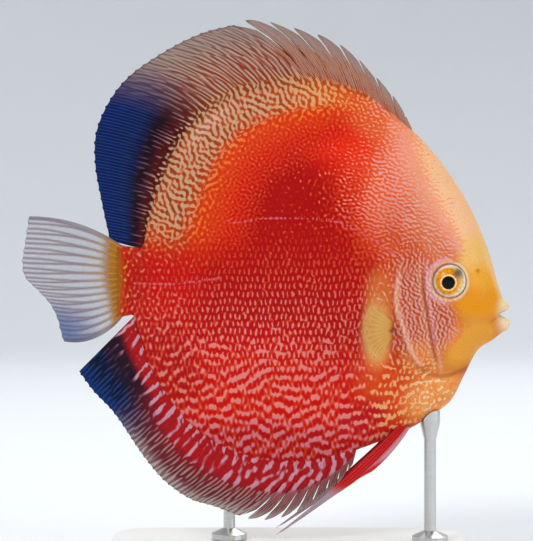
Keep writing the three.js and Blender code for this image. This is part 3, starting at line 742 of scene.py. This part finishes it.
# "fromBack" says how far the paint takes a root to be from the back's edge: 60 mm is past the
# tan islands, and only the dorsal fin starts among them
spine = {  # each has its ridge at the front of its flap, and a cut behind it
    "perRay": 25, "rows": 60, "rayAt": 0.25, "rayWidth": 0.08,
    "notch": ([0, 0.1, 0.25, 0.44, 0.52, 0.56, 0.6, 0.64, 0.68, 0.8, 1],
              [0.08, 0.05, 0.02, 0, 0.08, 0.5, 1, 0.9, 0.3, 0.2, 0.08]),
    "membrane": (0.9, 0.16), "ridge": (0.4, 0.06), "sway": flat, "sweep": flat, "fromBack": 60,
}
softRay = {  # the membrane is a little shorter than the ray
    "perRay": 12, "rows": 46, "rayAt": 0.5, "rayWidth": 0.17,
    "notch": ([0, 0.26, 0.5, 0.74, 1], [1, 1, 0, 1, 1]), "notchDepth": lambda u: 0.012 + 0 * u,
    "membrane": (0.9, 0.13), "ridge": (0.3, 0.07), "sway": flat, "sweep": flat, "fromBack": 60,
}


def dorsalPaint(navyFrom, spiny):  # the fin turns navy from a share of its length, past 1 never
    def paintIt(u, r, ray, ground, marks, masks):
        rear = smooth(navyFrom, navyFrom + 0.26, u)
        front = layered(
            ramped(ground, r, ("#8a300c", 0.02, 0.22), ("#74402c", 0.35, 0.6), ("#745450", 0.6, 0.9)),
            ("#9a5030", spiny * smooth(0.15, 0.4, r) * 0.75),
            ("#866c68", spiny * smooth(0.45, 0.75, r) * 0.8))
        frontMarks = ramped(marks, r, ("#b4907c", 0.06, 0.24), ("#a0887a", 0.5, 0.8))
        dark = ramped(ground, r, ("#4a0408", 0.0, 0.1), ("#14010a", 0.14, 0.34),
                      ("#01042a", 0.34, 0.55), ("#01083e", 0.55, 0.85))
        darkMarks = ramped(marks, r, ("#684058", 0.08, 0.26), ("#181848", 0.28, 0.46),
                           ("#010e4c", 0.5, 0.8))
        raised = ray * smooth(0.1, 0.3, r)
        threads = ridgeLine(np.sin(3 * math.pi * u * dorsalRays["rays"]), 0.5)  # three to a ray
        edge = smooth(0.96, 0.99, r)
        results = []
        for light, deep, tone in ((front, dark, 0.6), (frontMarks, darkMarks, 0.35)):
            light = layered(light, ("#a08480", raised * 0.5), ("#3c2c2c", edge * 0.7))
            deep = over(deep, "#0c4a9c", threads * smooth(0.34, 0.6, r) * tone)
            results.append(light * (1 - rear[..., None]) + deep * rear[..., None])
        masks["streaked"] = smooth(0.04, 0.2, r)
        into = smooth(0.0, 0.18, r)
        masks["cover"] = masks["cover"] * (1 - into) + (0.48 - 0.12 * rear) * into
        masks["cover"] = masks["cover"] + 0.1 * smooth(0.5, 0.9, r) * (1 - rear)
        masks["clear"] = 0.2 * smooth(0.6, 1, r) * (1 - ray) * (1 - rear)
        return results
    return paintIt


print("fins: dorsal")
dorsalSpines = {
    **spine, "rays": 9, "fromBack": 0,
    "root": rootAlong(back, 1, 50.4, 14.1, 1.3),
    "margin": through([
        [48.8, 51.4], [45.2, 58.4], [40.6, 64.4], [35.2, 70], [29.2, 76], [21.6, 80.9], [14, 83.4],
        [5, 85.7], [-4, 87.45], [-11, 85.8],
    ]),
    "bow": lambda u: -finBow * u, "notchDepth": lambda u: 0.22 + 0.4 * u,
}
dorsalRays = {
    **softRay, "rays": 31, "fromBack": 0,
    "root": rootAlong(back, 1, 14.2, -41, 1.3),
    "margin": through([
        [-10.9, 85.7], [-21.6, 83], [-34.9, 76.2], [-48.3, 65.5], [-56.2, 51], [-57, 40],
        [-54.6, 26], [-51.8, 13.8],
    ]),
    "bow": lambda u: -finBow * (1 - u), "notchDepth": lambda u: 0.014 + 0 * u,
    "sway": lambda u, r: 1.6 * r * r * np.sin(math.radians(540) * u),
}
spinyDorsal = finPiece("dorsal_spines", dorsalSpines, dorsalPaint(2, 1))
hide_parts("dorsal_fin_spines")
softDorsal = finPiece("dorsal_rays", dorsalRays, dorsalPaint(0.28, 0))
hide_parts("dorsal_fin_rays")


def analPaint(navyFrom, ladderEnd):
    def paintIt(u, r, ray, ground, marks, masks):
        rear = smooth(navyFrom, navyFrom + 0.3, u)[..., None]
        dark = ramped(ground, r, ("#a80a10", 0.0, 0.1), ("#7c1220", 0.36, 0.56))
        outer = ramped(dark, r, ("#681c2a", 0.55, 0.7), ("#806068", 0.76, 0.98))
        navy = ramped(dark, r, ("#20041a", 0.2, 0.36), ("#010828", 0.45, 0.65), ("#022058", 0.75, 1.0))
        pale = ramped(marks, r, ("#c88c9c", 0.0, 0.08), ("#a06862", 0.42, 0.58))
        paleOuter = ramped(pale, r, ("#9c7c74", 0.5, 0.7), ("#b0a094", 0.75, 0.95))
        paleNavy = ramped(pale, r, ("#402038", 0.34, 0.44), ("#083470", 0.5, 0.75))
        front = 1 - smooth(navyFrom - 0.45, navyFrom, u)
        masks["streaked"] = smooth(ladderEnd, ladderEnd + 0.08, r)  # past the pale rungs
        masks["coarse"] = 1 + 0 * r
        masks["grainStrict"] = 0.85 - 0.3 * front * (1 - smooth(0.3, 0.5, r))
        masks["cover"] = (0.36 + 0.08 * front + 0.06 * smooth(0.4, 0.6, r)
                          + 0.1 * smooth(0.8, 0.98, r))
        masks["clear"] = 0.2 * smooth(0.8, 1, r) * (1 - ray) * (1 - rear[..., 0])
        return outer * (1 - rear) + navy * rear, paleOuter * (1 - rear) + paleNavy * rear
    return paintIt


print("fins: anal")
analSpines = {
    **spine, "rays": 8,
    "root": rootAlong(belly, -1, 31.2, 8.6, 1.3),
    "margin": through([
        [29.2, -61], [25.1, -66.4], [21.8, -69.8], [15, -74.8], [9, -77.6], [2.8, -79.2],
        [-3.3, -79.4], [-8.8, -78.3],
    ]),
    "bow": lambda u: finBow * u, "notchDepth": lambda u: 0.36 + 0.26 * u,
}
analRays = {
    **softRay, "rays": 30,
    "root": rootAlong(belly, -1, 8.7, -43.6, 1.3),
    "margin": through([
        [-8.9, -78.2], [-17, -75.2], [-24.9, -72.8], [-33.3, -66.8], [-39.6, -59.4],
        [-50.6, -43.8], [-57.6, -36.6], [-62.3, -30.2],
    ]),
    "bow": lambda u: finBow * (1 - u), "notchDepth": lambda u: 0.014 + 0 * u,
    "sway": lambda u, r: 1.6 * r * r * np.sin(math.radians(500) * u),
}
spinyAnal = finPiece("anal_spines", analSpines, analPaint(2, 0.44))
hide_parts("anal_fin_spines")
softAnal = finPiece("anal_rays", analRays, analPaint(0.5, 0.46))
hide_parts("anal_fin_rays")


def tailPaint(u, r, ray, ground, marks, masks):
    low = smooth(0.6, 0.9, u) * smooth(0.3, 0.9, r)  # the lower lobe is bluer
    forked = ridgeLine(np.abs((u * tailFin["rays"]) % 1 - 0.5) - 0.24 * smooth(0.25, 0.9, r), 0.1)
    lit = np.maximum(forked, ray * (1 - smooth(0.4, 0.8, r)))
    edge = np.maximum(smooth(0.965, 0.99, u), 1 - smooth(0.01, 0.035, u))
    membrane = layered(
        ramped(ground, r, ("#aa6c18", 0, 0.06), ("#b0aeb8", 0.1, 0.3)), ("#4468ac", low * 0.75),
        ("#8a7478", lit * smooth(0.1, 0.3, r) * 0.95),
        ("#b48a40", lit * (1 - smooth(0.2, 0.45, r)) * 0.7), ("#2c5498", low * 0.45),
        ("#6c6470", edge * 0.6))
    masks["streaked"] = 1 + 0 * r
    masks["cover"] = skin["bare"] + 0 * r
    masks["clear"] = 0.68 * smooth(0.08, 0.25, r) * (1 - 0.85 * lit) * (1 - edge) * (1 - 0.4 * low)
    return membrane, membrane


print("fins: caudal, pectoral, pelvic")
tailFin = {
    **softRay, "rays": 14, "perRay": 14, "rows": 60,
    "root": lambda u: np.stack([-47.6 + 0 * u, 0 * u, 12 - 23.8 * u], -1),
    "margin": through([
        [-79, 21.8], [-80.3, 13], [-81.3, 6.5], [-80.6, 1.8], [-76.3, -2.9], [-72.6, -7],
        [-70.1, -12], [-69, -17], [-68.2, -20.2],
    ]),
    "bow": lambda u: -0.08 + 0.22 * u,
    "sway": lambda u, r: 9 * u * u * r * r,
    "rayWidth": 0.16, "membrane": (1.2, 0.12), "ridge": (0.35, 0.1),
}
caudalFin = finPiece("tail_fin", tailFin, tailPaint)
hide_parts("caudal_fin")


def pectoralPaint(u, r, ray, ground, marks, masks):
    raised = np.maximum(ray, smooth(0.6, 1, r)) * smooth(0.1, 0.3, r)
    membrane = layered(ground, ("#eab45c", smooth(0, 0.25, r)), ("#f0c080", raised * 0.5))
    masks["cover"] = skin["bare"] + 0 * r
    masks["clear"] = (0.2 + 0.65 * smooth(0.4, 1.0, r)) * (1 - 0.3 * ray) * smooth(0.05, 0.25, r)
    return membrane, membrane


def pelvicPaint(u, r, ray, ground, marks, masks):
    along = r * (1 - 0.62 * u)  # the same distance from the root on every ray
    membrane = layered(
        ground, ("#c00408", smooth(0, 0.06, r)),
        ("#c898a4", smooth(0.62, 0.82, u) * (1 - smooth(0.5, 0.8, r)) * 0.8),
        ("#a49098", smooth(0.5, 0.62, along)),
        ("#d8a050", ridgeLine(r - 1, 0.06) * smooth(0.2, 0.5, u) * 0.6),
        ("#7c0820", ridgeLine((u * pelvic["rays"]) % 1, 0.14) * (1 - smooth(0.4, 0.6, along)) * 0.6))
    masks["cover"] = skin["bare"] + 0 * r
    masks["clear"] = 0.25 * smooth(0.6, 1, along)
    return membrane, membrane


flankWidth = float(bodyHalfWidth(np.array(41.3), np.array(-0.2)))
for side, label in ((1, "left"), (-1, "right")):
    rootY = side * (flankWidth - 1)
    pectoral = {
        **softRay, "rays": 11, "perRay": 10, "rows": 36,
        "root": smoothCurve([[41.8, rootY, -13.4], [41.2, rootY, -18.4]]),
        "margin": through([
            [34.4, side * 25, -6.4], [31.6, side * 28, -11], [31, side * 28.6, -16.5],
            [33, side * 26.5, -22], [37, side * 21.5, -25.6],
        ]),
        "bow": lambda u: 0 * u, "sweep": lambda u, r: -3 * r * (1 - r),
        "membrane": (0.45, 0.08), "ridge": (0.06, 0.03),
    }
    pectoralFin = finPiece("pectoral_" + label, pectoral, pectoralPaint)
    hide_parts("pectoral_fin_" + label)
    pelvic = {
        **softRay, "rays": 5, "perRay": 14, "rows": 60,
        "root": smoothCurve([[44.4, side * 2.9, -47.5], [48.1, side * 2.1, -48.3]]),
        "margin": through([
            [2.7, side * 8, -83.9], [6.6, side * 7.6, -81.6], [14.2, side * 6.8, -76.6],
            [21.9, side * 5.9, -71.3], [27.2, side * 5.4, -67.8], [31, side * 5, -65.2],
            [35.2, side * 4.5, -63],
        ]),
        "bow": lambda u: 0.02 + 0.025 * u,
        "membrane": (0.55, 0.12), "ridge": (0.25, 0.08),
    }
    pelvicFin = finPiece("pelvic_" + label, pelvic, pelvicPaint)
    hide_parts("pelvic_fin_" + label)


# Eyes: a clear cornea over a gold iris, with the pupil a little back and down of its middle

def eyeMaterial():
    material, add = newMaterial("eye, clear cornea over a gold iris")
    read = {n: add("Attribute", {"attribute_name": n}) for n in ("iris", "fibres")}
    fleck = add("TexNoise", {"Scale": 1.6, "Detail": 4.0}, {
        "Vector": read["fibres"].outputs["Vector"]})
    shade = add("MapRange", {
        "From Min": 0.3, "From Max": 0.7, "To Min": 0.7, "To Max": 1.2},
        {"Value": fleck.outputs["Fac"]})
    shaded = add("VectorMath", {"operation": "SCALE"}, {0: read["iris"], "Scale": shade})
    finish = add("BsdfPrincipled", {
        "Roughness": 0.3, "IOR": 1.38, "Specular IOR Level": 0.1, "Coat Weight": 0.2,
        "Coat Roughness": 0.03}, {"Base Color": shaded})
    add("OutputMaterial", {}, {"Surface": finish})
    return material


print("eyes")
eyeFinish = eyeMaterial()
skinAtEye = float(bodyHalfWidth(np.array(eye["x"]), np.array(0.0)))
for side, label in ((1, "left"), (-1, "right")):
    turn = np.linspace(0, 2 * math.pi, 97)[:-1][:, None]
    slant = np.linspace(0.004, 1, 60)[None, :] * math.pi * 0.62
    radial = np.sin(slant) * eye["radius"] + 0 * turn
    x = eye["x"] + radial * np.cos(turn)
    z = eye["z"] + radial * np.sin(turn)
    y = side * (skinAtEye - eye["sink"] + eye["depthRadius"] * np.cos(slant) + 0 * turn)
    points = np.stack([x, y, z], -1)
    count, rings = points.shape[:2]
    index = np.arange(count * rings).reshape(count, rings)
    after = np.roll(index, -1, axis=0)
    quads = np.stack([index[:, :-1], after[:, :-1], after[:, 1:], index[:, 1:]], -1).reshape(-1, 4)
    if side < 0:
        quads = quads[:, ::-1]
    flatPoints = np.vstack([points.reshape(-1, 3), [[eye["x"], y[0, 0], eye["z"]]]])
    eyeball = gridObject("eyeball_" + label, flatPoints, quads)
    faceX = flatPoints[:, 0] - eye["x"]
    faceZ = flatPoints[:, 2] - eye["z"]
    fromPupil = np.hypot(faceX - eye["pupilShift"][0], faceZ - eye["pupilShift"][1])
    fromMiddle = np.hypot(faceX, faceZ)
    angle = np.arctan2(faceZ, faceX)
    smoke = ridgeLine(angle - 0.75, 0.5) * smooth(2.4, 3.4, fromPupil)  # above and ahead
    iris = layered(
        np.ones((len(flatPoints), 1)) * toLinear("#dc8a04"),
        ("#e8d490", smooth(3.9, 5.3, fromPupil + 0.9 * np.cos(angle + 0.6)) * 0.7),
        ("#e8e0cc", smooth(*eye["irisEnds"], fromMiddle)),
        ("#40342c", smoke * (1 - smooth(4.9, 5.5, fromMiddle)) * 0.85),
        ("#f0dca0", ridgeLine(fromPupil - eye["pupilRing"], 0.22)),
        ("#020204", 1 - smooth(eye["pupil"], eye["pupil"] + 0.15, fromPupil)))
    store(eyeball, "iris", "FLOAT_COLOR", iris)
    store(eyeball, "fibres", "FLOAT_VECTOR", np.stack([fromPupil * 0.6, angle * 3, 0 * angle], -1))
    eyeball.data.materials.append(eyeFinish)
    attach(eyeball, "root")
    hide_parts("eye_" + label)


# Stand: cast acrylic, satin, whose fine grain breaks up its gloss, and stainless rod, brushed
# round, whose hair-thin rings draw the highlights out

stand = {
    "acrylic": {
        "name": "cast acrylic, satin white", "cellsPerMetre": (900, 900, 900), "detail": 3.0,
        "colours": ("#e4e3de", "#eeeeea"), "roughness": (0.32, 0.46), "finish": {"IOR": 1.49},
    },
    "steel": {
        "name": "stainless steel, brushed round the rod", "cellsPerMetre": (30, 30, 4000),
        "detail": 2.0, "colours": ("#b8b8b6", "#d2d2d0"), "roughness": (0.24, 0.42),
        "finish": {"Metallic": 1.0},
    },
}


def standMaterial(look):
    material, add = newMaterial(look["name"])
    place = add("TexCoord")
    drawn = add("Mapping", {"Scale": look["cellsPerMetre"]}, {"Vector": place.outputs["Object"]})
    grain = add("TexNoise", {"Scale": 1.0, "Detail": look["detail"]}, {"Vector": drawn})
    low, high = look["roughness"]
    rough = add("MapRange", {"To Min": low, "To Max": high}, {"Value": grain.outputs["Fac"]})
    dark, light = map(colour4, look["colours"])
    tint = add("Mix", {"data_type": "RGBA", 6: dark, 7: light}, {"Factor": grain.outputs["Fac"]})
    finish = add("BsdfPrincipled", look["finish"], {
        "Base Color": tint.outputs[2], "Roughness": rough})
    add("OutputMaterial", {}, {"Surface": finish})
    return material


print("stand")
acrylic, steel = standMaterial(stand["acrylic"]), standMaterial(stand["steel"])
for nodeName, finish in (("stand_base", acrylic), ("stand_rod_front", steel),
                         ("stand_rod_rear", steel)):
    shown = frame["nodes"][nodeName]
    shown.data.materials.clear()
    shown.data.materials.append(finish)


# Studio: a pale floor that sweeps up all round, soft lights, and the camera level with the fish

studio = {
    "floorRadius": 1.6, "wallRadius": 2.6, "wallHeight": 3.0, "steps": 12, "turns": 64,
    "colour": "#e9ecef", "sky": "#f2f5fa", "skyStrength": 0.3,
    "lights": {  # place, size across and watts
        "key": ((-0.9, -1.2, 1.3), 0.7, 17),
        "fill": ((1.3, -1.1, 0.6), 0.9, 9),
        "top": ((0.0, 0.2, 1.9), 1.0, 11),
        "behind": ((0.4, 1.2, 1.6), 1.0, 12),
    },
    "lightAim": (0, 0, 0.1),
    "sensor": 36, "distance": 0.6, "aim": (0.0005, 0.1005), "frameWidth": 0.17767,
}


def studioSweep():  # floor and backdrop in one, all round
    bend = studio["wallRadius"] - studio["floorRadius"]
    profile = [(0.02, 0.0), (studio["floorRadius"], 0.0)]
    for step in range(1, studio["steps"] + 1):
        angle = math.radians(90) * step / studio["steps"]
        reach = studio["floorRadius"] + bend * math.sin(angle)
        profile.append((reach, bend - bend * math.cos(angle)))
    profile.append((studio["wallRadius"], studio["wallHeight"]))
    turns = studio["turns"]
    points = [(0, 0, 0)]
    for radius, height in profile:
        for k in range(turns):
            angle = 2 * math.pi * k / turns
            points.append((radius * math.cos(angle), radius * math.sin(angle), height))
    faces = [(0, 1 + k, 1 + (k + 1) % turns) for k in range(turns)]
    for ring in range(len(profile) - 1):
        for k in range(turns):
            a, b = 1 + ring * turns + k, 1 + ring * turns + (k + 1) % turns
            faces.append((a, a + turns, b + turns, b))
    mesh = bpy.data.meshes.new("studio_sweep")
    mesh.from_pydata(points, [], faces)
    mesh.polygons.foreach_set("use_smooth", [True] * len(mesh.polygons))
    sweep = bpy.data.objects.new("studio_sweep", mesh)
    bpy.context.scene.collection.objects.link(sweep)
    material, add = newMaterial("matt paper, pale")
    finish = add("BsdfPrincipled", {
        "Base Color": colour4(studio["colour"]), "Roughness": 0.9, "Specular IOR Level": 0.2})
    add("OutputMaterial", {}, {"Surface": finish})
    mesh.materials.append(material)


def addLight(name, place, size, watts):  # a round soft light, turned to the fish
    light = bpy.data.lights.new(name, "AREA")
    light.shape = "DISK"
    light.size = size
    light.energy = watts
    lamp = bpy.data.objects.new(name, light)
    lamp.location = place
    x, y, z = np.array(studio["lightAim"]) - np.array(place)
    lamp.rotation_euler = (math.atan2(math.hypot(x, y), -z), 0, math.atan2(y, x) - math.pi / 2)
    bpy.context.scene.collection.objects.link(lamp)


print("studio")
studioSweep()
for name, (place, size, watts) in studio["lights"].items():
    addLight(name, place, size, watts)
world = bpy.data.worlds.new("studio")
world.use_nodes = True
sky = world.node_tree.nodes["Background"]
sky.inputs["Color"].default_value = colour4(studio["sky"])
sky.inputs["Strength"].default_value = studio["skyStrength"]
bpy.context.scene.world = world
bpy.context.scene.view_settings.view_transform = "Standard"

camera = bpy.data.objects.new("camera", bpy.data.cameras.new("camera"))
camera.data.sensor_fit = "HORIZONTAL"
camera.data.sensor_width = studio["sensor"]
camera.data.lens = studio["sensor"] * studio["distance"] / studio["frameWidth"]
camera.location = (studio["aim"][0], -studio["distance"], studio["aim"][1])
camera.rotation_euler = (math.radians(90), 0, 0)
bpy.context.scene.collection.objects.link(camera)
bpy.context.scene.camera = camera
